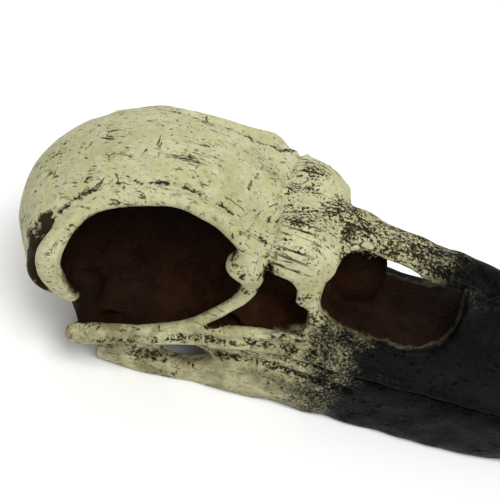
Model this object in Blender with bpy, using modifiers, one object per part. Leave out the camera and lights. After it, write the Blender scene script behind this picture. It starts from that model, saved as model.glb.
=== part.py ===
"""Raven skull replica, life size, resting on its lower jaw. +X beak, +Y the skull's left, +Z up, metres.

Sizes are written in millimetres in the skull's own axes: x forward from the bill's hinge, |y| out from the
middle, z up from the bill's edge. seat() turns them so that the jaw lies level and sets them on Z = 0.
"""
import math

import bmesh
import bpy
from mathutils import Vector

# Seating
MM = 0.001
JAW_LEVEL = math.radians(5.8)      # nose-up turn that brings the jaw's underside level
JAW_BOTTOM = -13.85                # height of the flats under the jaw after that turn, mm
MIDDLE_X = 13.4                     # middle of the skull's length after that turn, mm

# Joints between the bones
GAP = 0.3                           # mm left open where two bones meet
HINGE_X = -4.7                      # the crease between forehead and bill
ZYGOMA_X = -1.2                     # where the jugal bar meets the bill's cheek

# Braincase and forehead: (centre), (half sizes), squareness
BRAINCASE = ((-23.6, 0, 9.7), (20.0, 21.6, 13.1), 2.0)
SEPTUM = ((-14, 0, 9), (18, 3.4, 12), 2.6)
NOSE_BLOCK = ((-2.5, 0, 8), (8.5, 12.2, 9.6), 3.0)
NASAL_SWELLING = ((-1.8, 7.2, 14.6), (5.8, 5.0, 5.0), 2.0)
LACRIMAL_KNOB = ((-7.8, 12.9, 14.6), (2.6, 2.3, 2.2), 2.0)
ROOF_THICK = 3.6
# Forehead plate: x, top z, half width, fall to each side per mm squared
ROOF = [(-33, 19.2, 10.5, 0.012), (-29, 21.2, 11.8, 0.014), (-24, 22.5, 11.6, 0.016), (-18, 22.9, 10.6, 0.016),
        (-13, 21.8, 11.6, 0.010), (-8, 19.6, 12.8, 0.002), (-4, 18.3, 12.6, -0.003), (1, 18.0, 11.4, -0.002),
        (4.5, 17.0, 9.6, 0.003)]
ORBIT = ((-19.7, 19, 10.2), (13.2, 15.0, 11.6), 2.6)
ANTORBITAL_POCKETS = [
    ((-2.8, 13, 10.2), (3.1, 7, 3.5), 2.4), ((-2.2, 13, 5.8), (5.2, 7, 3.7), 2.4),
    ((-6.4, 13.5, 4.4), (3.6, 6, 2.4), 2.2)]
ORBIT_FLOOR = [(-28, 15.5, -2.6), (-16, 13.9, -1.1), (-5, 12.0, 0.6)]   # x, half width, middle z
ORBIT_FLOOR_THICK = 1.2
TEMPORAL_GROOVE = ((-35.4, 18.6, 13.5), (1.6, 3.4, 4.8), 2.0)
EAR_HOLLOW = ((-34.0, 18.0, 7.0), (3.6, 4.4, 4.0), 2.0)
EAR_SWELLING = ((-34.6, 12.5, 5.4), (4.2, 4.0, 4.0), 2.0)
FORAMEN_MAGNUM = ((-44, 0, 3.0), (5, 3.2, 3.2), 2.0)

# Rods of bone: x, |y|, z, radius
ORBIT_RIM = [
    (-6.9, 12.6, 13.2, 1.7), (-7.2, 13.2, 17.0, 1.4), (-9.0, 12.9, 19.2, 1.2), (-13.0, 11.4, 20.4, 1.1),
    (-18.8, 10.8, 21.1, 1.1), (-25, 11.7, 20.2, 1.2), (-29.3, 13.4, 18.5, 1.1), (-31.9, 15.6, 16.0, 1.2),
    (-33.2, 18.2, 13.6, 1.6), (-33.4, 18.6, 10.4, 1.6), (-32.2, 18.1, 7.8, 1.5), (-30.5, 17.2, 5.4, 1.2)]
ECTETHMOID_STRUT = [
    (-6.2, 12.2, 13.0, 1.5), (-6.8, 12.5, 9.4, 1.1), (-9.0, 12.9, 6.2, 0.9), (-12.4, 13.5, 3.0, 0.9),
    (-15.7, 14.2, 0.8, 1.0), (-20, 15.0, -0.6, 1.0)]
SKULL_BASE = [(-40, 0, 1.5, 4.0), (-34, 0, 0, 4.0), (-26, 0, -0.5, 2.4), (-12, 0, 0, 1.8), (-1, 0, -0.2, 1.6)]
JUGAL = [
    (-29.8, 16.4, -3.1, 1.7), (-27, 16.2, -2.4, 1.75), (-23.4, 15.8, -1.6, 1.6), (-17.7, 14.8, -0.8, 1.5),
    (-12, 13.8, 0.2, 1.45), (-6.3, 12.8, 1.3, 1.5), (-1, 11.9, 1.2, 1.7), (5, 11.0, 0.4, 1.7)]
QUADRATE = [(-30.6, 11.6, 2.8, 2.6), (-29.4, 12.6, -0.6, 2.2), (-28.6, 13.3, -3.0, 2.1), (-28.4, 13.4, -5.0, 2.0)]
PTERYGOID = [(-28, 12, -3.6, 1.3), (-25, 7, -3.0, 1.1), (-22.5, 3.4, -2.2, 1.2)]

# Upper bill: x, culmen z, edge z, half width
UPPER_BILL = [
    (-6, 17.4, 0.2, 12.5), (0, 18.0, -0.3, 12.0), (4.3, 18.0, -1.0, 11.4), (12.8, 16.5, -2.3, 10.4),
    (20.5, 15.2, -3.1, 9.7), (28.2, 13.9, -4.2, 8.9), (36, 12.3, -5.4, 8.0), (44, 9.9, -6.4, 6.9),
    (52, 6.2, -7.2, 5.6), (60, 1.4, -8.0, 3.9), (66, -3.6, -8.9, 2.2), (70.5, -9.2, -10.9, 0.7)]
NARIS = ((13.9, 0, 9.8), (10.3, 40, 6.4), 2.7)
ARCH_ACROSS, ARCH_UP = 2.3, 2.1     # powers of the bill's arched section, sideways and upwards
TROUGH = 1.6                        # greatest depth of the trough along the palate
CULMEN_BAR = 1.1                    # thickness of the ridge over the nostrils
CULMEN_BAR_HALF = 4.4               # half its width
BAR_REACH = (0, 30)                 # from where to where along x the ridge is laid in
NASAL_SEPTUM = ((6.4, 0, 8.0), (6.4, 3.2, 9.4), 2.0)
NARIS_TURN = -7                     # degrees, front end down

# Lower jaw: x, top z, bottom z, middle of the ramus |y|, half thickness
JAW = [
    (-27.2, -6.0, -9.8, 13.2, 1.3), (-25, -5.4, -11.2, 12.9, 1.4), (-22, -4.6, -12.1, 12.5, 1.4),
    (-14, -2.7, -12.7, 11.6, 1.4), (-6.6, -1.1, -13.1, 10.9, 1.5), (1.7, -1.3, -13.9, 10.0, 1.6),
    (12.7, -2.7, -15.3, 8.8, 1.9), (19, -3.5, -16.0, 8.0, 2.2), (27, -4.6, -16.9, 7.0, 2.7),
    (35.4, -5.8, -17.7, 5.4, 3.2), (45, -7.0, -17.7, 3.1, 3.6), (55, -7.9, -15.6, 0.9, 2.9),
    (66, -9.5, -10.3, 0, 0.8)]
JAW_SQUARE = 4.0                    # power of its cross-section: 2 is an ellipse
JAW_LEAN = 0.12                     # outward lean of the blade, per mm of height
MEETING = 0.4                       # reach of each half past the middle, where the two are one
JAW_FENESTRA = ((-13.7, 12, -5.2), (4.0, 6, 1.9), 2.0)
JAW_FENESTRA_TURN = 15

# Cutting boxes, mm: far enough to pass every bone
BEHIND, AHEAD, ASIDE, BELOW, ABOVE = -90, 90, 30, -30, 40
CHEEK_INNER, CHEEK_TOP = 8.5, 3.6   # the jugal bar's end leaves the bill outside and below these

# Fineness: voxel size in mm and triangles of each softened bone
VOXEL = {"cranium": 0.55, "upper_bill": 0.5, "mandible": 0.5}
TRIANGLES = {"cranium": 7000, "upper_bill": 5200, "mandible": 3400}


def clear_scene():
    for old in list(bpy.data.objects):
        bpy.data.objects.remove(old, do_unlink=True)


def seat(x, y, z):
    """Skull axes in mm to the part's place in metres."""
    c, s = math.cos(JAW_LEVEL), math.sin(JAW_LEVEL)
    return Vector(((x * c - z * s - MIDDLE_X) * MM, y * MM, (x * s + z * c - JAW_BOTTOM) * MM))


def smooth_rows(rows, per_span):
    """Rows along a path, filled in by a Catmull-Rom curve through all their columns."""
    rows = [list(map(float, row)) for row in rows]
    before = [2 * a - b for a, b in zip(rows[0], rows[1])]
    after = [2 * a - b for a, b in zip(rows[-1], rows[-2])]
    ends = [before] + rows + [after]
    filled = []
    for i in range(len(rows) - 1):
        for k in range(per_span):
            u = k / per_span
            filled.append([0.5 * (2 * b + (c - a) * u + (2 * a - 5 * b + 4 * c - d) * u * u
                                  + (3 * b - a - 3 * c + d) * u ** 3)
                           for a, b, c, d in zip(*ends[i:i + 4])])
    return filled + [rows[-1]]


def new_object(name, mesh):
    obj = bpy.data.objects.new(name, mesh)
    bpy.context.scene.collection.objects.link(obj)
    return obj


def closed_mesh(name, work):
    """The edited mesh as an object whose faces all look outwards."""
    bmesh.ops.recalc_face_normals(work, faces=work.faces)
    if work.calc_volume(signed=True) < 0:
        bmesh.ops.reverse_faces(work, faces=work.faces)
    mesh = bpy.data.meshes.new(name)
    work.to_mesh(mesh)
    work.free()
    return new_object(name, mesh)


def mesh_from(name, points, faces):
    work = bmesh.new()
    verts = [work.verts.new(point) for point in points]
    for face in faces:
        work.faces.new([verts[i] for i in face])
    return closed_mesh(name, work)


def ball(name, shape, side=1, turn=0.0, grow=0.0, segments=40):
    """A sphere stretched to half sizes and squared up by its power, turned about the cross axis."""
    (cx, cy, cz), radii, power = shape
    work = bmesh.new()
    bmesh.ops.create_uvsphere(work, u_segments=segments, v_segments=segments // 2, radius=1)
    angle = math.radians(turn)
    for vert in work.verts:
        p = vert.co
        size = (abs(p.x) ** power + abs(p.y) ** power + abs(p.z) ** power) ** (1 / power)
        x, y, z = (v / size * (r + grow) for v, r in zip(p, radii))
        x, z = x * math.cos(angle) - z * math.sin(angle), x * math.sin(angle) + z * math.cos(angle)
        vert.co = seat(cx + x, side * (cy + y), cz + z)
    return closed_mesh(name, work)


def rod(name, rows, side=1, grow=0.0, sides=12, per_span=4):
    """A tapered round rod along a smooth path, as a bevelled curve turned into a mesh."""
    curve = bpy.data.curves.new(name, "CURVE")
    curve.dimensions = "3D"
    curve.bevel_depth = MM
    curve.bevel_resolution = sides // 4 - 1
    curve.use_fill_caps = True
    spline = curve.splines.new("POLY")
    path = smooth_rows(rows, per_span)
    spline.points.add(len(path) - 1)
    for point, (x, y, z, radius) in zip(spline.points, path):
        point.co = (*seat(x, side * y, z), 1)
        point.radius = radius + grow
    holder = new_object(name + "_path", curve)
    mesh = bpy.data.meshes.new_from_object(holder.evaluated_get(bpy.context.evaluated_depsgraph_get()))
    bpy.data.objects.remove(holder, do_unlink=True)
    work = bmesh.new()
    work.from_mesh(mesh)
    bpy.data.meshes.remove(mesh)
    bmesh.ops.remove_doubles(work, verts=work.verts, dist=1e-7)
    return closed_mesh(name, work)


def loft(name, sections):
    """A closed skin over rings of equal count, capped at both ends."""
    count = len(sections[0])
    points = [seat(*point) for ring in sections for point in ring]
    faces = [tuple(range(count)), tuple(range(len(points) - 1, len(points) - count - 1, -1))]
    for i in range(len(sections) - 1):
        for k in range(count):
            a, b = i * count + k, i * count + (k + 1) % count
            faces.append((a, b, b + count, a + count))
    return mesh_from(name, points, faces)


def roof():
    """The forehead's plate: arched across, as wide as the space between the orbits."""
    steps, rings = 12, []
    for x, top, half, drop in smooth_rows(ROOF, 3):
        ys = [half * (2 * k / steps - 1) for k in range(steps + 1)]
        upper = [(x, y, top - drop * y * y) for y in ys]
        lower = [(x, y, top - drop * y * y - ROOF_THICK) for y in reversed(ys)]
        rings.append(upper + lower)
    return loft("roof", rings)


def arch(x, top, edge, half, around=24, start=0.0):
    """A squared-up ellipse over the bill's edges from left to right, whole or only its crown."""
    ring = []
    for k in range(around + 1):
        a = start + (math.pi - 2 * start) * k / around
        cross, rise = math.cos(a), math.sin(a)
        y = half * math.copysign(abs(cross) ** (2 / ARCH_ACROSS), cross)
        ring.append((x, y, edge + (top - edge) * rise ** (2 / ARCH_UP)))
    return ring


def culmen_bar():
    """The ridge that runs on over the nostrils: the arch's crown, an even thickness of it."""
    rings = []
    for x, top, edge, half in smooth_rows(UPPER_BILL, 3):
        if BAR_REACH[0] <= x <= BAR_REACH[1]:
            start = math.acos((CULMEN_BAR_HALF / half) ** (ARCH_ACROSS / 2))
            crown = arch(x, top, edge, half, start=start)
            rings.append(crown + [(px, y, z - CULMEN_BAR) for px, y, z in reversed(crown)])
    return loft("culmen_bar", rings)


def orbit_floor():
    """A thin web from the skull's base out to each jugal bar."""
    half, rings = ORBIT_FLOOR_THICK / 2, []
    for x, reach, middle in smooth_rows(ORBIT_FLOOR, 2):
        rings.append([(x, -reach, middle - half), (x, reach, middle - half), (x, reach, middle + half),
                      (x, -reach, middle + half)])
    return loft("orbit_floor", rings)


def bill():
    """Upper bill: rounded ridge above, straight edges, a shallow trough along the palate."""
    rings = []
    for x, top, edge, half in smooth_rows(UPPER_BILL, 3):
        ring = arch(x, top, edge, half)
        rim, bed, trough = 0.72 * half, 0.5 * half, min(TROUGH, 0.16 * half)
        ring += [(x, -rim, edge), (x, -bed, edge + trough), (x, bed, edge + trough), (x, rim, edge)]
        rings.append(ring)
    return loft("bill", rings)


def ramus(side):
    """One side of the lower jaw: an upright blade that leans out and runs in to the beak's tip."""
    around, rings = 20, []
    for x, top, bottom, middle, thick in smooth_rows(JAW, 3):
        ring = []
        for k in range(around):
            a = 2 * math.pi * k / around
            c, s = math.cos(a), math.sin(a)
            y = thick * math.copysign(abs(c) ** (2 / JAW_SQUARE), c)
            z = (top - bottom) / 2 * math.copysign(abs(s) ** (2 / JAW_SQUARE), s)
            ring.append((x, side * max(middle + y + JAW_LEAN * z, -MEETING), (top + bottom) / 2 + z))
        rings.append(ring)
    return loft("ramus", rings)


def block(name, low, high, place=seat):
    """A box between two corners, in the skull's axes unless it is placed otherwise."""
    work = bmesh.new()
    bmesh.ops.create_cube(work, size=1)
    for vert in work.verts:
        vert.co = place(*(a if side < 0 else b for side, a, b in zip(vert.co, low, high)))
    return closed_mesh(name, work)


def level(x, y, z):
    """A place in the part's own axes, given in mm."""
    return Vector((x, y, z)) * MM


def floor_cutter():
    """Takes the underside level at Z = 0."""
    return block("floor_cut", (BEHIND, -ASIDE, BELOW), (AHEAD, ASIDE, 0), level)


def group(name, members):
    """Helper shapes in a collection of their own, kept out of the render."""
    collection = bpy.data.collections.new(name)
    bpy.context.scene.collection.children.link(collection)
    for obj in members:
        bpy.context.scene.collection.objects.unlink(obj)
        collection.objects.link(obj)
        obj.hide_render = True
        obj.display_type = "WIRE"
    return collection


def boolean(obj, operation, name, members):
    modifier = obj.modifiers.new(name, "BOOLEAN")
    modifier.operation = operation
    modifier.operand_type = "COLLECTION"
    modifier.collection = group(f"{obj.name}_{name}", members)
    modifier.solver = "EXACT"


def bake(obj):
    """The evaluated mesh becomes the object's own; its helpers go."""
    helpers = [m.collection for m in obj.modifiers if m.type == "BOOLEAN"]
    mesh = bpy.data.meshes.new_from_object(obj.evaluated_get(bpy.context.evaluated_depsgraph_get()))
    obj.modifiers.clear()
    obj.data = mesh
    for collection in helpers:
        for helper in list(collection.objects):
            bpy.data.objects.remove(helper, do_unlink=True)
        bpy.data.collections.remove(collection)


def keep_largest(obj):
    """Drops every closed surface but the largest."""
    work = bmesh.new()
    work.from_mesh(obj.data)
    seen, shells = set(), []
    for face in work.faces:
        if face in seen:
            continue
        shell, queue = [], [face]
        seen.add(face)
        while queue:
            here = queue.pop()
            shell.append(here)
            for edge in here.edges:
                for other in edge.link_faces:
                    if other not in seen:
                        seen.add(other)
                        queue.append(other)
        shells.append(shell)
    shells.sort(key=len)
    for shell in shells[:-1]:
        bmesh.ops.delete(work, geom=shell, context="FACES")
    work.to_mesh(obj.data)
    work.free()


def soften(obj):
    """Blends the joined shapes into one skin and brings it to its share of triangles."""
    remesh = obj.modifiers.new("skin", "REMESH")
    remesh.mode = "VOXEL"
    remesh.voxel_size = VOXEL[obj.name] * MM
    smooth = obj.modifiers.new("soft", "SMOOTH")
    smooth.factor = 0.5
    smooth.iterations = 5
    bake(obj)
    keep_largest(obj)
    count = sum(len(face.vertices) - 2 for face in obj.data.polygons)
    reduce = obj.modifiers.new("reduce", "DECIMATE")
    reduce.ratio = min(1.0, TRIANGLES[obj.name] / count)
    bake(obj)


def paint(obj, colour, roughness):
    material = bpy.data.materials.new(obj.name + "_paint")
    material.use_nodes = True
    shader = material.node_tree.nodes["Principled BSDF"]
    shader.inputs["Base Color"].default_value = (*colour, 1)
    shader.inputs["Roughness"].default_value = roughness
    shader.inputs["Metallic"].default_value = 0.0
    obj.data.materials.clear()
    obj.data.materials.append(material)


def both(make):
    return [make(side) for side in (1, -1)]


def pockets():
    """Cutters for the window between the orbit and the nostril, on both sides."""
    return [ball("pocket", shape, side) for shape in ANTORBITAL_POCKETS for side in (1, -1)]


def cranium():
    obj = ball("cranium", BRAINCASE, segments=64)
    pieces = [roof(), ball("septum", SEPTUM), ball("nose_block", NOSE_BLOCK), rod("skull_base", SKULL_BASE)]
    for side in (1, -1):
        pieces += [ball("nasal", NASAL_SWELLING, side), ball("ear", EAR_SWELLING, side)]
    boolean(obj, "UNION", "bones", pieces)
    boolean(obj, "DIFFERENCE", "hollows", [
        *both(lambda s: ball("orbit", ORBIT, s)), *pockets(),
        *both(lambda s: ball("groove", TEMPORAL_GROOVE, s)), *both(lambda s: ball("ear", EAR_HOLLOW, s)),
        ball("foramen", FORAMEN_MAGNUM)])
    boolean(obj, "UNION", "rims", [
        orbit_floor(),
        *both(lambda s: rod("rim", ORBIT_RIM, s)), *both(lambda s: rod("strut", ECTETHMOID_STRUT, s)),
        *both(lambda s: ball("knob", LACRIMAL_KNOB, s))])
    soften(obj)
    boolean(obj, "DIFFERENCE", "meetings", [
        block("ahead", (HINGE_X - GAP / 2, -ASIDE, BELOW), (AHEAD, ASIDE, ABOVE)),
        *both(lambda s: rod("jugal_room", JUGAL, s, GAP)), *both(lambda s: rod("quadrate_room", QUADRATE, s, GAP)),
        *both(lambda s: rod("pterygoid_room", PTERYGOID, s, GAP))])
    bake(obj)
    keep_largest(obj)
    paint(obj, (0.62, 0.58, 0.36), 0.6)


def upper_bill():
    obj = bill()
    obj.name = "upper_bill"
    pieces = [roof(), ball("nose_block", NOSE_BLOCK), ball("septum", SEPTUM)]
    pieces += both(lambda s: ball("swelling", NASAL_SWELLING, s)) + both(lambda s: rod("cheek", JUGAL, s))
    boolean(obj, "UNION", "bones", pieces)
    boolean(obj, "DIFFERENCE", "hollows", [*pockets(), ball("naris", NARIS, turn=NARIS_TURN)])
    boolean(obj, "UNION", "middle", [culmen_bar(), ball("nasal_septum", NASAL_SEPTUM)])
    soften(obj)
    boolean(obj, "DIFFERENCE", "meetings", [
        block("behind", (BEHIND, -ASIDE, BELOW), (HINGE_X + GAP / 2, ASIDE, ABOVE)),
        *both(lambda s: block("jugal_end", (BEHIND, s * CHEEK_INNER, BELOW),
                              (ZYGOMA_X + GAP / 2, s * ASIDE, CHEEK_TOP)))])
    bake(obj)
    keep_largest(obj)
    paint(obj, (0.05, 0.045, 0.04), 0.42)


def jugal_bar(name, side):
    obj = rod(name, JUGAL, side)
    boolean(obj, "DIFFERENCE", "meetings", [
        block("front_end", (ZYGOMA_X - GAP / 2, -ASIDE, BELOW), (AHEAD, ASIDE, ABOVE))])
    bake(obj)
    paint(obj, (0.66, 0.62, 0.4), 0.58)


def quadrate(name, side):
    obj = rod(name, QUADRATE, side)
    boolean(obj, "UNION", "bones", [rod("pterygoid", PTERYGOID, side)])
    boolean(obj, "DIFFERENCE", "meetings", [rod("jugal_room", JUGAL, side, GAP)])
    bake(obj)
    keep_largest(obj)
    paint(obj, (0.5, 0.44, 0.27), 0.66)


def mandible():
    obj = ramus(1)
    obj.name = "mandible"
    boolean(obj, "UNION", "bones", [ramus(-1)])
    boolean(obj, "DIFFERENCE", "hollows", [
        *both(lambda s: ball("fenestra", JAW_FENESTRA, s, JAW_FENESTRA_TURN))])
    soften(obj)
    boolean(obj, "DIFFERENCE", "meetings", [
        floor_cutter(), *both(lambda s: rod("quadrate_room", QUADRATE, s, GAP)),
        *both(lambda s: rod("pterygoid_room", PTERYGOID, s, GAP))])
    bake(obj)
    keep_largest(obj)
    paint(obj, (0.09, 0.085, 0.07), 0.48)


def main():
    clear_scene()
    bpy.context.scene.unit_settings.scale_length = 1.0
    cranium()
    upper_bill()
    mandible()
    for word, side in (("left", 1), ("right", -1)):
        jugal_bar("jugal_bar_" + word, side)
        quadrate("quadrate_" + word, side)


main()
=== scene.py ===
"""Raven skull replica: bone surfaces from distance fields, painted finish, floor, lights and camera.

Lengths in the field code are millimetres in the skull's own axes: x forward from the bill's hinge, |y| out
from the middle, z up from the bill's edge. seat() turns and moves them to the frame, in metres.
"""
import math

import bpy
import numpy as np
from bpy.props import FloatProperty, FloatVectorProperty, PointerProperty
from mathutils import Matrix, Vector


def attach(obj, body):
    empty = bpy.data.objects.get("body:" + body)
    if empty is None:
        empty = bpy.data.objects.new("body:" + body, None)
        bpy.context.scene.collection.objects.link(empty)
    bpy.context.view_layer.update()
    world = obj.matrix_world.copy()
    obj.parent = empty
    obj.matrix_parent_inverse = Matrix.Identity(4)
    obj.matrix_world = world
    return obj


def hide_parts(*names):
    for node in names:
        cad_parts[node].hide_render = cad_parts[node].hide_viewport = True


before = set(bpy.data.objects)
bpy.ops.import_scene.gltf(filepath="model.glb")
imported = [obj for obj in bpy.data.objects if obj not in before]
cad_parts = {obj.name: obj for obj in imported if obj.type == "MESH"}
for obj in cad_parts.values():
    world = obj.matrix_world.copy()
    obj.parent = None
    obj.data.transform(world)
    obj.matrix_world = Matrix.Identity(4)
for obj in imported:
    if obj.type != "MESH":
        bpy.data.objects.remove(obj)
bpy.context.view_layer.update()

bl_info = {
    "name": "Raven skull replica",
    "version": (1, 0, 0),
    "blender": (4, 5, 0),
    "location": "3D Viewport > Sidebar > Skull",
    "description": "Builds a painted life-size raven skull and its studio",
    "category": "Add Mesh",
}

MM = 0.001

# Seating, as in the part: nose-up turn, height of the floor and middle of the length, mm
JAW_LEVEL = math.radians(5.8)
JAW_BOTTOM = -13.85
MIDDLE_X = 13.4

# Closed shapes: (centre), (half sizes), squareness
BRAINCASE = ((-23.6, 0, 9.7), (20.0, 21.6, 13.1), 2.0)
SEPTUM = ((-14, 0, 9), (18, 3.4, 12), 2.6)
NOSE_BLOCK = ((-2.5, 0, 8), (8.5, 12.2, 9.6), 3.0)
NASAL_SWELLING = ((-1.8, 7.2, 14.6), (5.8, 5.0, 5.0), 2.0)
LACRIMAL_KNOB = ((-7.8, 12.9, 14.6), (2.6, 2.3, 2.2), 2.0)
ORBIT = ((-19.7, 19, 10.2), (13.2, 15.0, 11.6), 2.6)
ANTORBITAL_POCKETS = [
    ((-2.8, 13, 10.2), (3.1, 7, 3.5), 2.4), ((-2.2, 13, 5.8), (5.2, 7, 3.7), 2.4),
    ((-6.4, 13.5, 4.4), (3.6, 6, 2.4), 2.2)]
ORBIT_FLOOR = [(-28, 15.5, -2.6), (-16, 13.9, -1.1), (-5, 12.0, 0.6)]   # x, half width, middle z
ORBIT_FLOOR_THICK = 1.2
TEMPORAL_GROOVE = ((-35.4, 18.6, 13.5), (1.6, 3.4, 4.8), 2.0)
EAR_HOLLOW = ((-34.0, 18.0, 7.0), (3.6, 4.4, 4.0), 2.0)
EAR_SWELLING = ((-34.6, 12.5, 5.4), (4.2, 4.0, 4.0), 2.0)
FORAMEN_MAGNUM = ((-44, 0, 3.0), (5, 3.2, 3.2), 2.0)
NARIS = ((13.9, 0, 9.8), (10.3, 40, 6.4), 2.7)
CULMEN_BAR = 1.0                    # thickness of the ridge over the nostrils
CULMEN_BAR_HALF = 4.1
CULMEN_BAR_ENDS = (0, 30)
NASAL_SEPTUM = ((6.4, 0, 8.0), (6.4, 3.2, 9.4), 2.0)
NARIS_TURN = -7
JAW_FENESTRA = ((-13.7, 12, -5.6), (4.2, 6, 2.3), 2.0)
JAW_FENESTRA_TURN = 15
JAW_HOLLOW = ((-15.8, 14.4, -5.6), (6.4, 1.9, 2.6), 2.0)
CHEEK_SHADE = ((2.6, 12.0, 5.0), (3.4, 3.5, 6.5), 2.0)   # painted shade, where the cheek is greyed with the wash's grain

# Forehead plate: x, top z, half width, fall to each side per mm squared
ROOF = [
    (-33, 19.2, 10.5, 0.012), (-29, 21.2, 11.8, 0.014), (-24, 22.5, 11.6, 0.016), (-18, 22.9, 10.6, 0.016),
    (-13, 21.8, 11.6, 0.010), (-8, 19.6, 12.8, 0.002), (-4, 18.3, 12.6, -0.003), (1, 18.0, 11.4, -0.002),
    (4.5, 17.0, 9.6, 0.003)]
ROOF_THICK = 3.6

# Rods of bone: x, |y|, z, radius
ORBIT_RIM = [
    (-6.9, 12.6, 13.2, 1.7), (-7.2, 13.2, 17.0, 1.4), (-9.0, 12.9, 19.2, 1.2), (-13.0, 11.4, 20.4, 1.1),
    (-18.8, 10.8, 21.1, 1.1), (-25, 11.7, 20.2, 1.2), (-29.3, 13.4, 18.5, 1.1), (-31.9, 15.6, 16.0, 1.2),
    (-33.2, 18.2, 13.6, 1.6), (-33.4, 18.6, 10.4, 1.6), (-32.2, 18.1, 7.8, 1.5), (-30.5, 17.2, 5.4, 1.2)]
ECTETHMOID_STRUT = [
    (-6.2, 12.2, 13.0, 1.5), (-6.8, 12.5, 9.4, 1.1), (-9.0, 12.9, 6.2, 0.9), (-12.4, 13.5, 3.0, 0.9),
    (-15.7, 14.2, 0.8, 1.0), (-20, 15.0, -0.6, 1.0)]
SKULL_BASE = [(-40, 0, 1.5, 4.0), (-34, 0, 0, 4.0), (-26, 0, -0.5, 2.4), (-12, 0, 0, 1.8), (-1, 0, -0.2, 1.6)]
JUGAL = [
    (-29.8, 16.4, -3.1, 1.7), (-27, 16.2, -2.4, 1.75), (-23.4, 15.8, -1.6, 1.6), (-17.7, 14.8, -0.8, 1.5),
    (-12, 13.8, 0.2, 1.45), (-6.3, 12.8, 1.3, 1.5), (-1, 11.9, 1.2, 1.7), (5, 11.0, 0.4, 1.7)]
TOMIAL_RIDGE = [(-10, 14.0, -0.6, 0.7), (-3, 13.0, 0.6, 0.8), (3, 12.2, 0.0, 0.8), (9, 11.3, -1.3, 0.7),
                (19, 10.0, -2.9, 0.6), (36, 8.1, -5.4, 0.4)]
MAXILLA_RIDGE = [(-12, 14.0, 1.5, 0.8), (-7, 13.3, 2.6, 0.8), (-1, 12.5, 3.0, 0.8), (4, 11.7, 2.8, 0.7)]
ZYGOMA_GROOVE = [(-16, 15.6, 0.3, 0.4), (-8, 14.5, 1.1, 0.6), (-1, 13.5, 1.7, 0.6), (5, 12.4, 1.1, 0.4)]
JUGAL_GROOVE = [(-27, 17.5, -2.6, 0.2), (-23, 17.2, -1.8, 0.3), (-18, 16.2, -0.6, 0.3), (-14, 15.4, 0.4, 0.3)]
JAW_GROOVE = [(-9, 12.9, -3.4, 0.5), (-2.3, 12.3, -3.6, 0.6), (4, 11.7, -4.6, 0.6), (12, 10.9, -6.0, 0.4)]
QUADRATE = [
    (-30.6, 11.6, 2.8, 2.6), (-29.4, 12.6, -0.6, 2.2), (-28.6, 13.3, -3.0, 2.1), (-28.4, 13.4, -5.0, 2.0)]
PTERYGOID = [(-28, 12, -3.6, 1.3), (-25, 7, -3.0, 1.1), (-22.5, 3.4, -2.2, 1.2)]

# Upper bill: x, culmen z, edge z, half width
UPPER_BILL = [
    (-6, 17.4, 0.2, 12.5), (0, 18.0, -0.3, 12.0), (4.3, 18.0, -1.0, 11.4), (12.8, 16.5, -2.3, 10.4),
    (20.5, 15.2, -3.1, 9.7), (28.2, 13.9, -4.2, 8.9), (36, 12.3, -5.4, 8.0), (44, 9.9, -6.4, 6.9),
    (52, 6.2, -7.2, 5.6), (60, 1.4, -8.0, 3.9), (66, -3.6, -8.9, 2.2), (71, -9.8, -11.0, 0.6)]
BILL_END = 70.5
ARCH_ACROSS, ARCH_UP = 2.3, 2.1     # powers of the bill's arched section, sideways and upwards
TROUGH = 1.2                        # depth of the trough along the palate
TROUGH_SHARE = 0.6                  # its reach, as a share of the bill's half width

# Lower jaw: x, top z, bottom z, middle of the ramus |y|, half thickness
JAW = [
    (-30, -6.6, -8.6, 13.6, 1.3), (-25, -5.4, -11.2, 12.9, 1.4), (-22, -4.6, -12.1, 12.5, 1.4),
    (-14, -2.7, -12.7, 11.6, 1.4), (-6.6, -1.1, -13.1, 10.9, 1.5), (1.7, -1.3, -13.9, 10.0, 1.6),
    (12.7, -2.7, -15.3, 8.8, 1.9), (19, -3.5, -16.0, 8.0, 2.2), (27, -4.6, -16.9, 7.0, 2.7),
    (35.4, -5.8, -17.7, 5.4, 3.2), (45, -7.0, -17.7, 3.1, 3.6), (55, -7.9, -15.6, 0.9, 2.9),
    (66, -9.5, -10.3, 0, 0.8)]
JAW_ENDS = (-27.2, 65.5)
JAW_SQUARE = 4.0                    # power of its cross-section: 2 is an ellipse
JAW_LEAN = 0.12                     # outward lean of the blade, per mm of height
HINGE_X = -4.7
LAP = 0.5                           # how far each piece runs on into the other at the hinge

# Surface detail, mm
HINGE_CREASE = (-4.3, 1.2, 13, 0.55, 0.42)      # x in the middle, bow, half width, depth and width of the line
MIDDLE_CREASE = (0.6, 1.5)                      # depth and width of the line down the nasals
CREASED_ABOVE = 12.5
LUMPS = ((13, 0.3, 0.10), (8.3, 1.1, 0.08), (5.7, 2.3, 0.05))    # length, shift and height of each wave
HOLLOW_REACHES = ((0.8, 0.4), (1.8, 0.35), (3.6, 0.25))          # how far the hollow is felt for, and its share
DEEP = 4.0                          # depth inside the hull at which the inside's paint is full
POOL = 1.5                          # how far the wash spreads round the places where it pooled

# Boxes that the surfaces are read in: least and greatest x, y, z
CRANIUM_BOX = ((-46, 0, -9), (-3, 23, 26))
BILL_BOX = ((-6, 0, -13), (72, 15, 20))
JAW_BOX = ((-32, 0, -19), (67, 17, 1))

# Paint, metres in the frame
STROKES_X = (-0.0205, -0.0185, -0.0155, -0.0135)    # where the hinge's strokes start, are full, thin and end
STROKE_APART = 0.00098
FADE_X = (-0.0145, -0.0025)         # where the bill's black starts and is full
FADE_LAG = 0.0115                   # how much later it starts on the ridge
FADE_LAG_Z = (0.018, 0.029)         # heights between which it falls back

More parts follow.
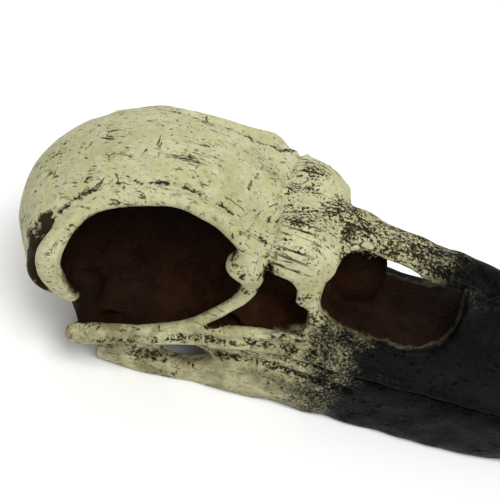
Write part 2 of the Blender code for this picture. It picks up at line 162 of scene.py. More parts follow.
# Studio: the photograph's camera in degrees and mm, and the lights' place, share of power and size in metres
CAMERA_AZIMUTH, CAMERA_ELEVATION, CAMERA_ROLL = 3.5, 39.1, -12.4
SKULL_BEFORE_LENS = (6.8, -7.5, -130.0)
LIGHTS = (("main_light", (0.12, -0.22, 0.45), 1.0, 0.3), ("rear_light", (-0.2, 0.3, 0.35), 0.3, 0.3))
FLOOR_HALF = 3.0


def seat(points):
    """Skull axes in mm to the frame in metres: x' = x cos a - z sin a - middle,
    z' = x sin a + z cos a - floor."""
    c, s = math.cos(JAW_LEVEL), math.sin(JAW_LEVEL)
    x, y, z = np.asarray(points, float).T
    return np.stack([x * c - z * s - MIDDLE_X, y, x * s + z * c - JAW_BOTTOM], axis=1) * MM


def smooth_rows(rows, count):
    """Catmull-Rom curve through the rows, at count even steps: each value is
    (2b + (c-a)u + (2a-5b+4c-d)u^2 + (3b-a-3c+d)u^3) / 2 for the four rows a, b, c, d about it."""
    rows = np.asarray(rows, float)
    ends = np.vstack([2 * rows[0] - rows[1], rows, 2 * rows[-1] - rows[-2]])
    t = np.linspace(0, len(rows) - 1, count)
    i = np.minimum(t.astype(int), len(rows) - 2)
    u = (t - i)[:, None]
    a, b, c, d = ends[i], ends[i + 1], ends[i + 2], ends[i + 3]
    square, cube = 2 * a - 5 * b + 4 * c - d, 3 * b - a - 3 * c + d
    return 0.5 * (2 * b + (c - a) * u + square * u ** 2 + cube * u ** 3)


def along(x, rows, column):
    """A row value at each x, read from the smooth curve through the rows."""
    curve = smooth_rows(rows, 12 * len(rows))
    return np.interp(x, curve[:, 0], curve[:, column]).astype(np.float32)


def join(a, b, soft):
    """Smooth union: the smaller distance, less soft h (1 - h) where the two are nearly equal,
    with h = 1/2 + (b - a) / (2 soft), held to 0..1."""
    h = np.clip(0.5 + 0.5 * (b - a) / soft, 0, 1)
    return b + (a - b) * h - soft * h * (1 - h)


def carve(a, b, soft):
    """Smooth difference: a without b."""
    return -join(-a, b, soft)


def ball(p, shape, turn=0.0):
    """Distance to a squared-up ellipsoid, near enough: (q - 1) over the slope of q,
    with q = (|x/rx|^n + |y/ry|^n + |z/rz|^n)^(1/n)."""
    (cx, cy, cz), (rx, ry, rz), power = shape
    a = math.radians(turn)
    x, y, z = p[0] - cx, p[1] - cy, p[2] - cz
    x, z = x * math.cos(a) + z * math.sin(a), -x * math.sin(a) + z * math.cos(a)
    u, v, w = np.abs(x / rx), np.abs(y / ry), np.abs(z / rz)
    q = np.maximum((u ** power + v ** power + w ** power) ** (1 / power), 1e-4)
    k = power - 1
    slope = np.sqrt((u ** k / rx) ** 2 + (v ** k / ry) ** 2 + (w ** k / rz) ** 2) / q ** k
    return (q - 1) / np.maximum(slope, 1 / max(rx, ry, rz))


def rod(p, rows, steps=30, flat=1.0):
    """Distance to a tapered rod along a smooth path: the least, over its short straight links, of the
    distance to the link less the radius there; flat squeezes it across y."""
    path = smooth_rows(rows, steps)
    best = None
    for a, b in zip(path[:-1], path[1:]):
        d = b[:3] - a[:3]
        v = [p[i] - a[i] for i in range(3)]
        t = np.clip((v[0] * d[0] + v[1] * d[1] + v[2] * d[2]) / (d @ d), 0, 1)
        away = np.sqrt((v[0] - t * d[0]) ** 2 + ((v[1] - t * d[1]) / flat) ** 2 + (v[2] - t * d[2]) ** 2)
        away = away - (a[3] + (b[3] - a[3]) * t)
        best = away if best is None else np.minimum(best, away)
    return best


def roof(p):
    """The forehead's plate: within half its thickness of an arch that falls by drop y^2."""
    x, y, z = p
    crown = along(x, ROOF, 1) - along(x, ROOF, 3) * y ** 2
    half = ROOF_THICK / 2
    slab = np.abs(z - (crown - half)) - half
    return np.maximum(np.maximum(slab, y - along(x, ROOF, 2)), np.maximum(ROOF[0][0] - x, x - ROOF[-1][0]))


def bill_arch(x, y, z):
    """|y/w|^m + t^n < 1, with w the bill's half width and t the height from its edge to its culmen."""
    culmen, edge, half = (along(x, UPPER_BILL, k) for k in (1, 2, 3))
    height = np.maximum(culmen - edge, 0.4)
    q = np.abs(y / half) ** ARCH_ACROSS + np.maximum((z - edge) / height, 0) ** ARCH_UP
    return (np.sqrt(q) - 1) * np.minimum(half, height) * 0.8


def bill_shell(p):
    """Upper bill: the arch over a shallow trough along the palate; and the ridge over the nostrils, which is
    the arch less the same arch let down by the ridge's thickness."""
    x, y, z = p
    edge, half = along(x, UPPER_BILL, 2), along(x, UPPER_BILL, 3)
    arch = bill_arch(x, y, z)
    trough = edge + np.clip(TROUGH_SHARE * half - y, 0, TROUGH)
    shell = np.maximum(np.maximum(arch, trough - z), np.maximum(x - BILL_END, UPPER_BILL[0][0] - x))
    bar = np.maximum(np.maximum(arch, -bill_arch(x, y, z + CULMEN_BAR)), y - CULMEN_BAR_HALF)
    return shell, np.maximum(bar, np.maximum(CULMEN_BAR_ENDS[0] - x, x - CULMEN_BAR_ENDS[1]))


def upper_skull(p):
    """The whole skull above the jaw. Returns its distance field and that of its uncut hull."""
    hull = join(ball(p, BRAINCASE), roof(p), 2.5)
    hull = join(hull, ball(p, SEPTUM), 2.5)
    hull = join(hull, ball(p, NOSE_BLOCK), 2.0)
    shell, culmen_bar = bill_shell(p)
    hull = join(join(hull, shell, 1.0), ball(p, NASAL_SWELLING), 1.5)
    hull = join(hull, ball(p, EAR_SWELLING), 1.0)
    d = carve(hull, ball(p, ORBIT), 1.0)
    d = carve(carve(d, ball(p, TEMPORAL_GROOVE), 1.2), ball(p, EAR_HOLLOW), 1.0)
    for pocket in ANTORBITAL_POCKETS:
        d = carve(d, ball(p, pocket), 0.6)
    d = carve(d, ball(p, NARIS, NARIS_TURN), 0.6)
    d = join(join(d, culmen_bar, 0.4), ball(p, NASAL_SEPTUM), 0.8)
    d = join(d, rod(p, ORBIT_RIM, 44), 0.55)
    d = join(d, ball(p, LACRIMAL_KNOB), 1.2)
    d = join(d, rod(p, ECTETHMOID_STRUT, 24), 0.5)
    d = join(d, rod(p, SKULL_BASE, 20), 1.5)
    d = join(d, orbit_floor(p), 0.8)
    d = join(d, rod(p, JUGAL, 30, 0.85), 0.6)
    d = join(d, rod(p, TOMIAL_RIDGE, 24), 0.5)
    d = join(d, rod(p, MAXILLA_RIDGE, 16), 0.5)
    d = carve(d, rod(p, ZYGOMA_GROOVE, 16), 0.4)
    d = d + creases(p)
    hull = join(hull, between_jugals(p), 0.8)
    d = join(d, rod(p, QUADRATE, 14), 0.8)
    d = join(d, rod(p, PTERYGOID, 12), 0.8)
    return carve(d, ball(p, FORAMEN_MAGNUM), 0.8), hull


def stained_and_shaded(p):
    """Where the dark wash pooled, and where the cheek takes painted shade: 2.2 inside the ear and the temporal
    groove but not on the orbit's rim, 0.8 along the grooves of cheek and jaw and in the jaw's hollow, less over
    the cheek's painted shade, falling to 0 around them; and a band 1 mm outside the rim, 0.7 exp(-((r - 1) /
    0.45)^2) with r the distance to the rim."""
    ear = np.minimum(ball(p, TEMPORAL_GROOVE), ball(p, EAR_HOLLOW)) - 0.4
    near = np.minimum(ball(p, JAW_HOLLOW, JAW_FENESTRA_TURN) + 0.4, np.maximum(ball(p, CHEEK_SHADE), 0) + 0.7)
    for rows in (ZYGOMA_GROOVE, JUGAL_GROOVE, JAW_GROOVE):
        near = np.minimum(near, rod(p, rows, 16) + 0.5)
    rim = rod(p, ORBIT_RIM, 44)
    band = 0.7 * np.exp(-((rim - 1.0) / 0.45) ** 2)
    pool = 2.2 * np.clip(1 - ear / POOL, 0, 1) * np.clip((rim - 0.25) / 0.6, 0, 1)
    return np.maximum(np.maximum(pool, band), 0.8 * np.clip(1 - near / POOL, 0, 1))


def within(p):
    """Bones that lie wholly inside and take the inside's paint: 1 on them, falling to 0 over 0.8 mm."""
    near = np.minimum(rod(p, QUADRATE, 14), rod(p, PTERYGOID, 12))
    near = np.where(p[2] < -3.2, 9.0, near)
    septum = np.where(p[2] > 13.0, 9.0, ball(p, NASAL_SEPTUM))
    return np.clip(1 - (np.minimum(near, septum) - 0.5) / 0.8, 0, 1)


def orbit_floor(p):
    """The web that closes the space between the skull's base and the jugal bar."""
    x, y, z = p
    plate = np.abs(z - along(x, ORBIT_FLOOR, 2)) - ORBIT_FLOOR_THICK / 2
    reach = along(x, ORBIT_FLOOR, 1)
    return np.maximum(np.maximum(plate, y - reach), np.maximum(ORBIT_FLOOR[0][0] - x, x - ORBIT_FLOOR[-1][0]))


def creases(p):
    """How far the surface sinks along the bill's hinge and down the middle of the nasals: a bell curve,
    depth exp(-(u / width)^2), across each line, on the top of the skull only."""
    x, y, z = p
    top = np.clip((z - CREASED_ABOVE) / 2, 0, 1)
    start, bow, half, deep, wide = HINGE_CREASE
    hinge = deep * np.exp(-((x - start + bow * (1 - (y / half) ** 2)) / wide) ** 2)
    deep, wide = MIDDLE_CREASE
    middle = deep * np.exp(-(y / wide) ** 2) * np.clip((x + 6) / 2, 0, 1) * np.clip((3 - x) / 4, 0, 1)
    return (hinge + middle) * top


def between_jugals(p):
    """The room inside the two jugal bars and under the orbits, which the dark paint fills."""
    x, y, z = p
    across = y - along(x, JUGAL, 1) + 0.4
    return 2.5 * np.maximum(np.maximum(across, np.abs(z - 1.5) - 5.5), np.abs(x + 17) - 16)


def jaw(p):
    """Lower jaw: two upright blades, |(y - m) / t|^n + |(z - c) / h|^n < 1, leaning out and meeting in
    front. Returns its distance field and that of its uncut hull."""
    x, y, z = p
    top, bottom, middle, thick = (along(x, JAW, k) for k in (1, 2, 3, 4))
    c, half = (top + bottom) / 2, np.maximum((top - bottom) / 2, 0.3)
    across = np.abs((y - middle - JAW_LEAN * (z - c)) / thick)
    q = (across ** JAW_SQUARE + np.abs((z - c) / half) ** JAW_SQUARE) ** (1 / JAW_SQUARE)
    d = (q - 1) * np.minimum(thick, half) * 0.9
    d = np.maximum(d, np.maximum(JAW_ENDS[0] - x, x - JAW_ENDS[1]))
    hull = d
    d = carve(carve(d, rod(p, JAW_GROOVE, 16), 0.4), ball(p, JAW_HOLLOW, JAW_FENESTRA_TURN), 0.8)
    return carve(d, ball(p, JAW_FENESTRA, JAW_FENESTRA_TURN), 0.5), hull


def lumps(x, y, z):
    """Slow unevenness of the cast, in mm: a sum of crossed sine waves,
    h sin(kx + s + sin(0.7 kz)) sin(0.9 ky + 2s) cos(1.1 kz - s) for each length 2 pi / k."""
    total = 0.0
    for long, tilt, size in LUMPS:
        k = 2 * math.pi / long
        total = total + size * np.sin(k * x + tilt + np.sin(k * 0.7 * z)) * np.sin(k * y * 0.9 + 2 * tilt) \
            * np.cos(k * z * 1.1 - tilt)
    return total


class Grid:
    """A box of points at even steps on one side of the skull, which is mirrored in y."""

    def __init__(self, low, high, step):
        self.step = step
        self.low = np.array([low[0], 0.0, low[2]])
        counts = [int((high[k] - self.low[k]) / step) + 2 for k in range(3)]
        axes = [self.low[k] + step * np.arange(counts[k]) for k in range(3)]
        self.points = [a.astype(np.float32) for a in np.meshgrid(*axes, indexing="ij")]

    def mirrored(self, values):
        return np.concatenate([values[:, :0:-1], values], axis=1)

    def places(self):
        x, y, z = self.points
        return self.mirrored(x), np.concatenate([-y[:, :0:-1], y], axis=1), self.mirrored(z)

    def start(self):
        reach = (self.points[0].shape[1] - 1) * self.step
        return np.array([self.low[0], -reach, self.low[2]])


def read(values, start, step, points):
    """Trilinear reading of a full grid at points."""
    u = (points - start) / step
    u = np.clip(u, 0, np.array(values.shape) - 1.001)
    i = u.astype(int)
    f = u - i
    total = 0.0
    for corner in np.ndindex(2, 2, 2):
        weight = np.prod([f[:, k] if corner[k] else 1 - f[:, k] for k in range(3)], axis=0)
        total = total + weight * values[i[:, 0] + corner[0], i[:, 1] + corner[1], i[:, 2] + corner[2]]
    return total


def skin(values, start, step):
    """The closed surface where a full grid changes sign: one point in each cell that it crosses, at the mean
    of its edge crossings, and one four-sided face for each grid edge with ends on either side."""
    inside = values < 0
    cells = tuple(n - 1 for n in values.shape)
    filled = np.zeros(cells, np.int8)
    for corner in np.ndindex(2, 2, 2):
        filled += inside[tuple(slice(c, c + n) for c, n in zip(corner, cells))]
    crossed = (filled > 0) & (filled < 8)
    place = np.argwhere(crossed)
    index = np.full(cells, -1, np.int64)
    index[crossed] = np.arange(len(place))
    total, hits = np.zeros((len(place), 3)), np.zeros(len(place))
    i, j, k = place.T
    for corner in np.ndindex(2, 2, 2):
        for axis in range(3):
            if corner[axis]:
                continue
            other = list(corner)
            other[axis] = 1
            a = values[i + corner[0], j + corner[1], k + corner[2]]
            b = values[i + other[0], j + other[1], k + other[2]]
            cut = (a < 0) != (b < 0)
            at = np.tile(np.array(corner, float), (len(place), 1))
            at[:, axis] += np.where(cut, a / np.where(cut, a - b, 1), 0)
            total[cut] += at[cut]
            hits[cut] += 1
    points = (place + total / hits[:, None]) * step + start
    faces = []
    for axis in range(3):
        near, far = [slice(None)] * 3, [slice(None)] * 3
        near[axis], far[axis] = slice(0, -1), slice(1, None)
        low = inside[tuple(near)]
        edges = np.argwhere(low != inside[tuple(far)])
        one, two = ((1, 2), (2, 0), (0, 1))[axis]
        kept = (edges[:, one] > 0) & (edges[:, two] > 0)
        kept &= (edges[:, one] < values.shape[one] - 1) & (edges[:, two] < values.shape[two] - 1)
        edges = edges[kept]
        ring = []
        for shift_one, shift_two in ((-1, -1), (0, -1), (0, 0), (-1, 0)):
            cell = edges.copy()
            cell[:, one] += shift_one
            cell[:, two] += shift_two
            ring.append(index[cell[:, 0], cell[:, 1], cell[:, 2]])
        quads = np.stack(ring, axis=1)
        turned = ~low[edges[:, 0], edges[:, 1], edges[:, 2]]
        quads[turned] = quads[turned][:, ::-1]
        faces.append(quads)
    return points, np.concatenate(faces)


def slopes(values, start, step, points):
    """Unit outward direction of the field at points, by central differences."""
    out = []
    for axis in range(3):
        shift = np.zeros(3)
        shift[axis] = step
        out.append(read(values, start, step, points + shift) - read(values, start, step, points - shift))
    out = np.stack(out, axis=1)
    return out / np.maximum(np.linalg.norm(out, axis=1, keepdims=True), 1e-6)


def build_piece(name, replaced, material, box, step, field, region):
    """One closed surface of a field inside a region, with three point attributes for the paint: hollow, how
    far the near surroundings rise round a point, depth, how far it lies inside the uncut hull, and stain,
    where the wash pooled and where the cheek takes painted shade."""
    grid = Grid(*box, step)
    d, hull = field(grid.points)
    start = grid.start()
    whole = grid.mirrored(d) + lumps(*grid.places())
    uncut = grid.mirrored(hull)
    cut = np.maximum(whole, grid.mirrored(region(grid.points)))
    points, faces = skin(cut, start, step)
    for _ in range(2):
        away = read(cut, start, step, points)[:, None]
        points = points - 0.6 * np.clip(away, -0.2, 0.2) * slopes(cut, start, step, points)
    outward = slopes(whole, start, step, points)
    hollow = np.zeros(len(points))
    for reach, share in HOLLOW_REACHES:
        rise = read(whole, start, step, points + reach * outward)
        hollow += share * np.clip(1 - rise / reach, 0, 1.5)
    half = [points[:, 0], np.abs(points[:, 1]), points[:, 2]]
    depth = np.maximum(np.clip(-read(uncut, start, step, points) / DEEP, 0, 1), within(half))
    mesh = bpy.data.meshes.new(name)
    mesh.vertices.add(len(points))
    mesh.vertices.foreach_set("co", seat(points).ravel())
    mesh.loops.add(faces.size)
    mesh.loops.foreach_set("vertex_index", faces.ravel().astype(np.int32))
    mesh.polygons.add(len(faces))
    mesh.polygons.foreach_set("loop_start", np.arange(0, faces.size, 4, dtype=np.int32))
    mesh.update(calc_edges=True)
    for word, data in (("hollow", hollow), ("depth", depth), ("stain", stained_and_shaded(half))):
        layer = mesh.attributes.new(word, "FLOAT", "POINT")
        layer.data.foreach_set("value", data.astype(np.float32))
    mesh.shade_smooth()
    piece = bpy.data.objects.new(name, mesh)
    bpy.context.scene.collection.objects.link(piece)
    mesh.materials.append(material)
    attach(piece, "root")
    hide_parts(*replaced)
    return piece


class Shader:
    """Short words for building a node tree."""

    def __init__(self, name):
        self.material = bpy.data.materials.new(name)
        self.material.use_nodes = True
        self.tree = self.material.node_tree
        self.surface = self.tree.nodes["Principled BSDF"]
        self.place = self.tree.nodes.new("ShaderNodeTexCoord").outputs["Object"]

    def node(self, kind, inputs=(), **settings):
        made = self.tree.nodes.new("ShaderNode" + kind)
        for key, value in settings.items():
            setattr(made, key, value)
        for key, value in dict(inputs).items():
            self.feed(made.inputs[key], value)
        return made

    def feed(self, socket, value):
        if isinstance(value, bpy.types.NodeSocket):
            self.tree.links.new(value, socket)
        else:
            socket.default_value = value

    def maths(self, operation, a, b=0.0, clamp=False):
        return self.node("Math", {0: a, 1: b}, operation=operation, use_clamp=clamp).outputs[0]

    def attribute(self, name):
        return self.node("Attribute", attribute_name=name).outputs["Fac"]

    def noise(self, size_mm, detail=4.0, rough=0.55, place=None, warp=0.0):
        inputs = {"Vector": place or self.place, "Scale": 1 / (size_mm * MM), "Detail": detail,
                  "Roughness": rough, "Distortion": warp}
        return self.node("TexNoise", inputs).outputs["Fac"]

    def cells(self, size_mm, feature="F1", place=None):
        inputs = {"Vector": place or self.place, "Scale": 1 / (size_mm * MM)}
        return self.node("TexVoronoi", inputs, feature=feature).outputs["Distance"]

    def ramp(self, value, low, high, bottom=0.0, top=1.0):
        inputs = {"Value": value, "From Min": low, "From Max": high, "To Min": bottom, "To Max": top}
        return self.node("MapRange", inputs, clamp=True, interpolation_type="SMOOTHSTEP").outputs[0]

    def blend(self, amount, a, b):
        made = self.node("Mix", {0: amount}, data_type="RGBA")
        self.feed(made.inputs["A"], a)
        self.feed(made.inputs["B"], b)
        return made.outputs["Result"]

    def stretched(self, scale):
        return self.node("Mapping", {"Vector": self.place, "Scale": scale}).outputs[0]


def hatching(s, split):
    """Short dark strokes that run forward over the hinge, side by side down each flank of the forehead."""
    x, y, z = split.outputs
    across = s.maths("MULTIPLY", s.maths("ABSOLUTE", y), 0.62)
    down = s.maths("SUBTRACT", across, s.maths("MULTIPLY", z, 0.62))
    wander = s.ramp(s.noise(6, 2), 0.3, 0.7, -0.00012, 0.00012)
    turn = s.maths("MULTIPLY", s.maths("ADD", down, wander), 2 * math.pi / STROKE_APART)
    line = s.ramp(s.maths("SINE", turn), 0.50, 0.80)
    broken = s.ramp(s.noise(1.4, 2, 0.5, s.stretched((0.2, 1.0, 1.0))), 0.42, 0.48)
    start, full, thin, end = STROKES_X
    from_rear = s.ramp(x, start, full)
    to_front = s.ramp(x, end, thin)
    outer = s.ramp(s.maths("ABSOLUTE", y), 0.0045, 0.0065)
    high = s.ramp(z, 0.0275, 0.0295)
    line = s.maths("MULTIPLY", s.maths("MULTIPLY", line, broken), s.maths("MULTIPLY", from_rear, to_front))
    return s.maths("MULTIPLY", line, s.maths("MULTIPLY", outer, high))


def bone_paint(settings):
    """Cream cast bone with a dark wash in pits, cracks and hollows, fading through specks to satin black."""
    s = Shader("bone_paint")
    split = s.node("SeparateXYZ", {0: s.place})
    x, z = split.outputs[0], split.outputs[2]
    hollow, depth = s.attribute("hollow"), s.attribute("depth")

    # Wash: patches where it stayed, pits of two sizes, cracks and fine scratches
    patches = s.ramp(s.noise(7, 5, 0.6, warp=0.4), 0.40, 0.62)
    warped = s.node("VectorMath", {0: s.place, 1: s.node("VectorMath", {
        0: s.node("TexNoise", {"Vector": s.place, "Scale": 1 / (2.2 * MM), "Detail": 3.0}).outputs["Color"],
        1: (0.0016, 0.0016, 0.0016)}, operation="MULTIPLY").outputs[0]}, operation="ADD").outputs[0]
    pits = s.ramp(s.noise(0.9, 4, 0.7, warp=0.5), 0.60, 0.64)
    specks = s.ramp(s.cells(1.9, place=warped), 0.17, 0.11)
    cracks = s.ramp(s.cells(9.0, "DISTANCE_TO_EDGE", warped), 0.013, 0.005)
    crack_here = s.ramp(s.noise(5, 2), 0.58, 0.66)
    flecks = s.ramp(s.noise(1.1, 4, 0.6, s.stretched((0.3, 1.0, 0.8)), 0.6), 0.60, 0.655)
    across = s.ramp(s.noise(1.3, 3, 0.6, s.stretched((1.0, 0.35, 0.5)), 0.8), 0.625, 0.67)
    marks = s.maths("MAXIMUM", s.maths("MULTIPLY", pits, patches), s.maths("MULTIPLY", cracks, crack_here))
    marks = s.maths("MAXIMUM", marks, s.maths("MULTIPLY", specks, s.ramp(s.noise(3.4, 3), 0.50, 0.6)))
    marks = s.maths("MAXIMUM", marks, s.maths("MULTIPLY", flecks, s.ramp(s.noise(6, 3), 0.44, 0.56)))
    marks = s.maths("MAXIMUM", marks, s.maths("MULTIPLY", across, s.ramp(s.noise(4.5, 3), 0.47, 0.56)))
    marks = s.maths("MAXIMUM", marks, hatching(s, split))
    dots = s.ramp(s.noise(0.62, 3, 0.6, s.stretched((0.55, 1.3, 1.0)), 0.4), 0.605, 0.635)
    marks = s.maths("MAXIMUM", marks, s.maths("MULTIPLY", dots, s.ramp(s.noise(8, 3), 0.46, 0.56)))
    grain = s.ramp(s.noise(0.5, 4, 0.7), 0.32, 0.68, -0.30, 0.30)
    slow = s.ramp(s.noise(2.6, 3), 0.3, 0.7, -0.14, 0.14)
    sunk = s.ramp(s.maths("ADD", hollow, s.maths("ADD", grain, slow)), 0.40, 0.62)
    # The wash where it pooled, with painted shade over the cheek, both read from the stain attribute
    pooled_wash_and_shade = s.maths("ADD", s.attribute("stain"), s.maths("MULTIPLY", grain, 1.1))
    pooled_wash_and_shade = s.maths("MULTIPLY", pooled_wash_and_shade, s.ramp(s.noise(2.2, 3), 0.38, 0.60, 0.25, 1.15))
    sunk = s.maths("MAXIMUM", sunk, s.ramp(pooled_wash_and_shade, 0.25, 0.70))

    # Cream bone, yellower and greyer by turns, with painted shade that darkens it towards the bottom
    cream = s.blend(s.ramp(s.noise(14, 3), 0.35, 0.65), settings["cream"], settings["cream_deep"])
    cream = s.blend(s.ramp(s.noise(2.5, 5, 0.65), 0.42, 0.70, 0.0, 0.6), cream, settings["cream_pale"])
    cream = s.blend(s.ramp(s.noise(0.8, 5, 0.7), 0.50, 0.72, 0.0, 0.35), cream, settings["grime_and_shade"])
    # Painted shade: olive patches and speckles darken the bone, from about a fifth of their strength at the top
    # to full low down
    low = s.ramp(z, 0.030, 0.010, 0.22, 1.0)
    grime_and_shade = s.maths("MULTIPLY", s.ramp(s.noise(5, 6, 0.65, warp=0.3), 0.34, 0.66, 0.05, 0.85), low)
    cream = s.blend(grime_and_shade, cream, settings["grime_and_shade"])
    speckle_and_low_shade = s.maths("MULTIPLY", s.ramp(s.noise(0.7, 5, 0.75, warp=0.6), 0.50, 0.60), low)
    cream = s.blend(s.maths("MULTIPLY", speckle_and_low_shade, 0.55), cream, settings["grime_and_shade"])
    washed = s.blend(s.maths("MULTIPLY", sunk, 0.98), cream, settings["wash"])
    strength = s.ramp(s.noise(1.8, 3), 0.35, 0.60, 0.62, 0.96)
    washed = s.blend(s.maths("MULTIPLY", marks, strength), washed, settings["wash"])
    red_here = s.maths("MULTIPLY", s.ramp(x, -0.040, -0.022, 0.35, 1.0), s.ramp(z, 0.030, 0.015, 0.03, 1.0))
    red_here = s.maths("MULTIPLY", red_here, s.ramp(s.noise(4, 5, 0.6), 0.34, 0.62, 0.45, 1.0))
    brown = s.blend(red_here, settings["inside_dark"], settings["inside_red"])
    inner = s.ramp(s.maths("ADD", depth, s.ramp(s.noise(2.0, 4), 0.3, 0.7, -0.12, 0.12)), 0.16, 0.5)
    bone = s.blend(inner, washed, brown)

    # Fade to black along the bill, ragged with specks
    reach = s.maths("ADD", x, s.ramp(z, *FADE_LAG_Z, 0.0, -FADE_LAG))
    ragged = s.ramp(z, 0.030, 0.018, 0.55, 1.0)
    spread = s.maths("MULTIPLY", s.ramp(s.noise(0.38, 4, 0.7), 0.3, 0.7, -0.0040, 0.0040), ragged)
    broad = s.ramp(s.noise(5, 3), 0.3, 0.7, -0.0025, 0.0025)
    reach = s.maths("ADD", reach, s.maths("ADD", spread, broad))
    black = s.ramp(reach, *FADE_X)
    black = s.maths("MULTIPLY", black, s.ramp(inner, 0.0, 1.0, 1.0, 0.55))
    coal = s.blend(s.ramp(s.noise(3, 5, 0.6), 0.4, 0.75), settings["black"], settings["black_pale"])
    colour = s.blend(black, bone, coal)
    s.feed(s.surface.inputs["Base Color"], colour)

    rough = s.ramp(black, 0.0, 1.0, 0.62, 0.40)
    uneven = s.ramp(s.noise(1.5, 4), 0.3, 0.7, -0.07, 0.07)
    s.feed(s.surface.inputs["Roughness"], s.maths("ADD", rough, uneven))
    shine = s.maths("MULTIPLY", s.ramp(black, 0.0, 1.0, 0.25, 0.05), s.ramp(inner, 0.0, 1.0, 1.0, 0.15))
    shine = s.maths("MULTIPLY", shine, s.ramp(s.maths("MAXIMUM", sunk, marks), 0.0, 1.0, 1.0, 0.15))
    s.feed(s.surface.inputs["Specular IOR Level"], shine)

    # Relief: pits and cracks sink, grain and slow dents lift
    height = s.maths("MULTIPLY", marks, -0.9)
    height = s.maths("ADD", height, s.maths("MULTIPLY", s.noise(0.45, 4, 0.65), 0.55))
    height = s.maths("ADD", height, s.maths("MULTIPLY", s.noise(2.4, 4, 0.6), 1.6))
    bump = s.node("Bump", {"Height": height, "Strength": 0.75, "Distance": 0.00024})
    s.feed(s.surface.inputs["Normal"], bump.outputs[0])
    return s.material


def floor_paint():
    """Plain pale card with a faint tooth."""
    s = Shader("floor_card")
    tone = s.blend(s.noise(40, 3), (0.95, 0.95, 0.95, 1), (0.97, 0.97, 0.97, 1))
    s.feed(s.surface.inputs["Base Color"], tone)
    s.surface.inputs["Roughness"].default_value = 0.9
    bump = s.node("Bump", {"Height": s.noise(1.0, 3), "Strength": 0.05, "Distance": 0.0001})
    s.feed(s.surface.inputs["Normal"], bump.outputs[0])
    return s.material


class SkullSettings(bpy.types.PropertyGroup):
    """What a user may change: the fineness of the surfaces, the paint, and the studio."""

    step: FloatProperty(
        name="Surface step", description="Distance between points of the bone surfaces, in mm",
        default=0.46, min=0.3, max=2.0)
    cream: FloatVectorProperty(
        name="Cream", description="Main bone colour", subtype="COLOR", size=4, default=(0.50, 0.49, 0.275, 1))
    cream_deep: FloatVectorProperty(
        name="Deep cream", description="Yellower bone", subtype="COLOR", size=4,
        default=(0.41, 0.395, 0.20, 1))
    cream_pale: FloatVectorProperty(
        name="Pale cream", description="Paler bone", subtype="COLOR", size=4, default=(0.60, 0.60, 0.42, 1))
    wash: FloatVectorProperty(
        name="Wash", description="Dark wash in the pits", subtype="COLOR", size=4,
        default=(0.015, 0.009, 0.0045, 1))
    # Olive brown for fine random mottle, and for painted shade that darkens the sides and the lower bone
    grime_and_shade: FloatVectorProperty(
        name="Grime", description="Olive brown that dulls the sides", subtype="COLOR", size=4,
        default=(0.15, 0.125, 0.052, 1))
    inside_dark: FloatVectorProperty(
        name="Dark inside", description="Darker paint inside the orbits", subtype="COLOR", size=4,
        default=(0.0025, 0.0015, 0.001, 1))
    inside_red: FloatVectorProperty(
        name="Red inside", description="Reddish paint inside the orbits and nostrils", subtype="COLOR", size=4,
        default=(0.040, 0.014, 0.006, 1))
    black: FloatVectorProperty(
        name="Black", description="Paint of the bill", subtype="COLOR", size=4,
        default=(0.0022, 0.0022, 0.0022, 1))
    black_pale: FloatVectorProperty(
        name="Worn black", description="Worn paint of the bill", subtype="COLOR", size=4,
        default=(0.0065, 0.0063, 0.006, 1))
    lens: FloatProperty(
        name="Lens", description="Focal length, in mm on a 36 mm sensor", default=58.6, min=20, max=200)
    light_power: FloatProperty(
        name="Light power", description="Power of the main soft light", default=2.3, min=0, max=50,
        unit="POWER")
    sky_strength: FloatProperty(
        name="Sky strength", description="Strength of the plain white surroundings", default=0.45, min=0,
        max=5)


def paint():
    settings = bpy.context.scene.skull_settings
    found = bpy.data.materials.get("bone_paint")
    if found:
        return found
    words = ("cream", "cream_deep", "cream_pale", "grime_and_shade", "wash", "inside_dark", "inside_red", "black",
             "black_pale")
    return bone_paint({word: tuple(getattr(settings, word)) for word in words})


def behind_hinge(p):
    return p[0] - (HINGE_X + LAP)


def ahead_of_hinge(p):
    return (HINGE_X - LAP) - p[0]


def above_floor(p):
    c, s = math.cos(JAW_LEVEL), math.sin(JAW_LEVEL)
    return JAW_BOTTOM - (p[0] * s + p[2] * c)


class SKULL_OT_cranium(bpy.types.Operator):
    """Build the braincase, orbits and the bones behind the bill's hinge"""
    bl_idname = "skull.cranium"
    bl_label = "Cranium"

    def execute(self, context):
        step = context.scene.skull_settings.step
        nodes = ("cranium", "quadrate_left", "quadrate_right", "jugal_bar_left", "jugal_bar_right")
        build_piece("cranium_bone", nodes, paint(), CRANIUM_BOX, step, upper_skull, behind_hinge)
        return {"FINISHED"}


class SKULL_OT_bill(bpy.types.Operator):
    """Build the upper bill with its open nostrils"""
    bl_idname = "skull.bill"
    bl_label = "Upper bill"

    def execute(self, context):
        step = context.scene.skull_settings.step
        build_piece("upper_bill_bone", ("upper_bill",), paint(), BILL_BOX, step, upper_skull,
                    ahead_of_hinge)
        return {"FINISHED"}


class SKULL_OT_jaw(bpy.types.Operator):
    """Build the lower jaw"""
    bl_idname = "skull.jaw"
    bl_label = "Lower jaw"

    def execute(self, context):
        step = context.scene.skull_settings.step
        build_piece("mandible_bone", ("mandible",), paint(), JAW_BOX, step, jaw, above_floor)
        return {"FINISHED"}


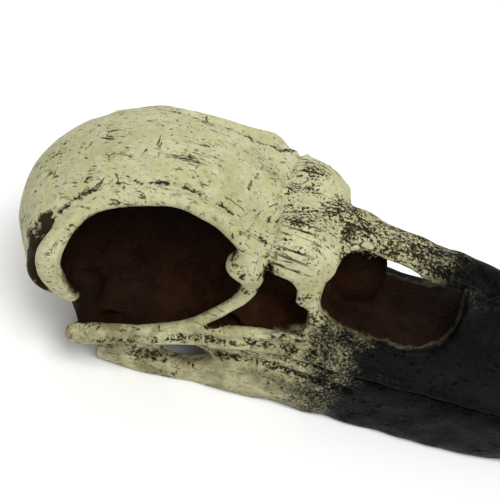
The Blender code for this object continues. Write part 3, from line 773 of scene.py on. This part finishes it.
class SKULL_OT_stage(bpy.types.Operator):
    """Build the floor, lights, surroundings and the photograph's camera"""
    bl_idname = "skull.stage"
    bl_label = "Stage"

    def execute(self, context):
        settings = context.scene.skull_settings
        scene = context.scene
        half = FLOOR_HALF
        corners = [(-half, -half, 0), (half, -half, 0), (half, half, 0), (-half, half, 0)]
        mesh = bpy.data.meshes.new("floor")
        mesh.from_pydata(corners, [], [(0, 1, 2, 3)])
        mesh.materials.append(floor_paint())
        floor = bpy.data.objects.new("floor", mesh)
        scene.collection.objects.link(floor)

        world = bpy.data.worlds.new("surroundings")
        world.use_nodes = True
        background = world.node_tree.nodes["Background"]
        background.inputs["Color"].default_value = (1, 1, 1, 1)
        background.inputs["Strength"].default_value = settings.sky_strength
        scene.world = world
        for name, place, power, size in LIGHTS:
            lamp = bpy.data.lights.new(name, "AREA")
            lamp.energy = settings.light_power * power
            lamp.size = size
            light = bpy.data.objects.new(name, lamp)
            light.location = place
            light.rotation_euler = (-Vector(place)).to_track_quat("-Z", "Y").to_euler()
            scene.collection.objects.link(light)
        scene.view_settings.view_transform = "Standard"
        photo_camera(settings)
        return {"FINISHED"}


def photo_camera(settings):
    """The photograph's camera, from its angles in the skull's axes: azimuth from the right side towards the
    beak, elevation, roll, and the place of the skull's origin before the lens, in mm."""
    azimuth, elevation, roll = (math.radians(v) for v in (CAMERA_AZIMUTH, CAMERA_ELEVATION, CAMERA_ROLL))
    before = Vector(SKULL_BEFORE_LENS)
    back = Vector((math.sin(azimuth) * math.cos(elevation), -math.cos(azimuth) * math.cos(elevation),
                   math.sin(elevation)))
    right = Vector((math.cos(azimuth), math.sin(azimuth), 0))
    up = back.cross(right)
    turned_right = right * math.cos(roll) - up * math.sin(roll)
    turned_up = right * math.sin(roll) + up * math.cos(roll)
    place = -(turned_right * before.x + turned_up * before.y + back * before.z)
    data = bpy.data.cameras.new("photo_camera")
    data.lens = settings.lens
    data.sensor_width = 36
    data.clip_start = 0.005
    data.clip_end = 50
    camera = bpy.data.objects.new("photo_camera", data)
    turn = Matrix.Rotation(-JAW_LEVEL, 3, "Y") @ Matrix([turned_right, turned_up, back]).transposed()
    camera.matrix_world = Matrix.Translation(Vector(seat([place])[0])) @ turn.to_4x4()
    bpy.context.scene.collection.objects.link(camera)
    bpy.context.scene.camera = camera


class SKULL_PT_panel(bpy.types.Panel):
    """Sidebar panel with the skull's settings and steps"""
    bl_idname = "SKULL_PT_panel"
    bl_label = "Raven skull"
    bl_space_type = "VIEW_3D"
    bl_region_type = "UI"
    bl_category = "Skull"

    def draw(self, context):
        settings = context.scene.skull_settings
        for word in ("step", "cream", "wash", "inside_red", "black", "lens", "light_power"):
            self.layout.prop(settings, word)
        for operator in (SKULL_OT_cranium, SKULL_OT_bill, SKULL_OT_jaw, SKULL_OT_stage):
            self.layout.operator(operator.bl_idname)


CLASSES = (SkullSettings, SKULL_OT_cranium, SKULL_OT_bill, SKULL_OT_jaw, SKULL_OT_stage, SKULL_PT_panel)


def register():
    for cls in CLASSES:
        bpy.utils.register_class(cls)
    bpy.types.Scene.skull_settings = PointerProperty(type=SkullSettings)


def unregister():
    del bpy.types.Scene.skull_settings
    for cls in reversed(CLASSES):
        bpy.utils.unregister_class(cls)


def main():
    register()
    bpy.ops.skull.cranium()
    bpy.ops.skull.bill()
    bpy.ops.skull.jaw()
    bpy.ops.skull.stage()


if __name__ == "__main__":
    main()
